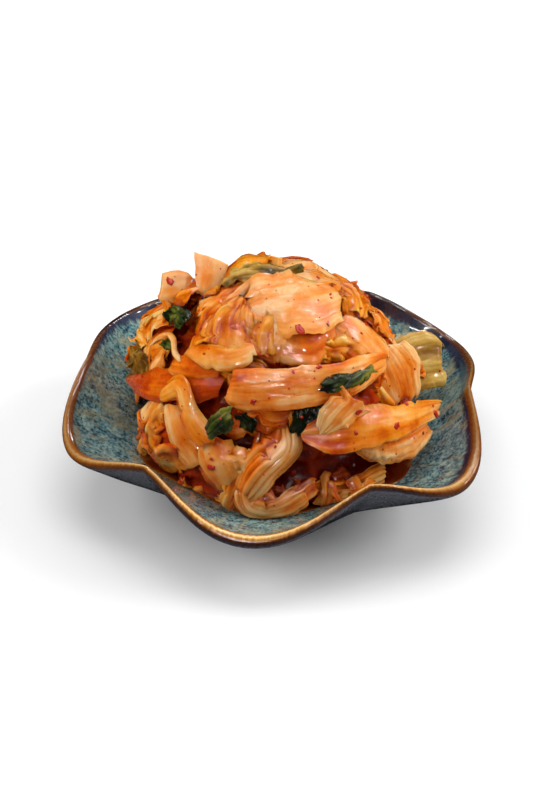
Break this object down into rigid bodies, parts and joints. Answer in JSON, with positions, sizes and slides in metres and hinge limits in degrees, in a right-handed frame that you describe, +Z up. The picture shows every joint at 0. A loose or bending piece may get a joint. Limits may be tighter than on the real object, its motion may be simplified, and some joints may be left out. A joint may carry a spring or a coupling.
{
  "type": "kimchi in a wavy dish",
  "caption": "Heaped helping of cut cabbage kimchi with scallion and chilli flakes, standing in a little red brine in a small glazed dish with a wavy rim.",
  "frame": {"origin": "on the table under the middle of the dish's outline, at the height the foot stands on", "axes": "+Z up; +X to the right and +Y away as the picture sees it"},
  "size_m": [0.1423, 0.1536, 0.0768],
  "materials": {
    "glazed_stoneware": "glossy mottled blue-teal glaze breaking to honey brown on the rim",
    "brine": "wet, red-orange, translucent",
    "cabbage": "wet translucent leaf, cream to orange",
    "scallion": "wet olive green",
    "dark_leaf": "wet dark green"
  },
  "bodies": {
    "root": {"bowl": "glazed_stoneware", "brine": "brine", "kimchi_heap": "cabbage", "scallion_top": "scallion", "scallion_right": "scallion", "scallion_left": "dark_leaf", "greens_left": "dark_leaf", "greens_middle": "dark_leaf"}
  },
  "joints": []
}
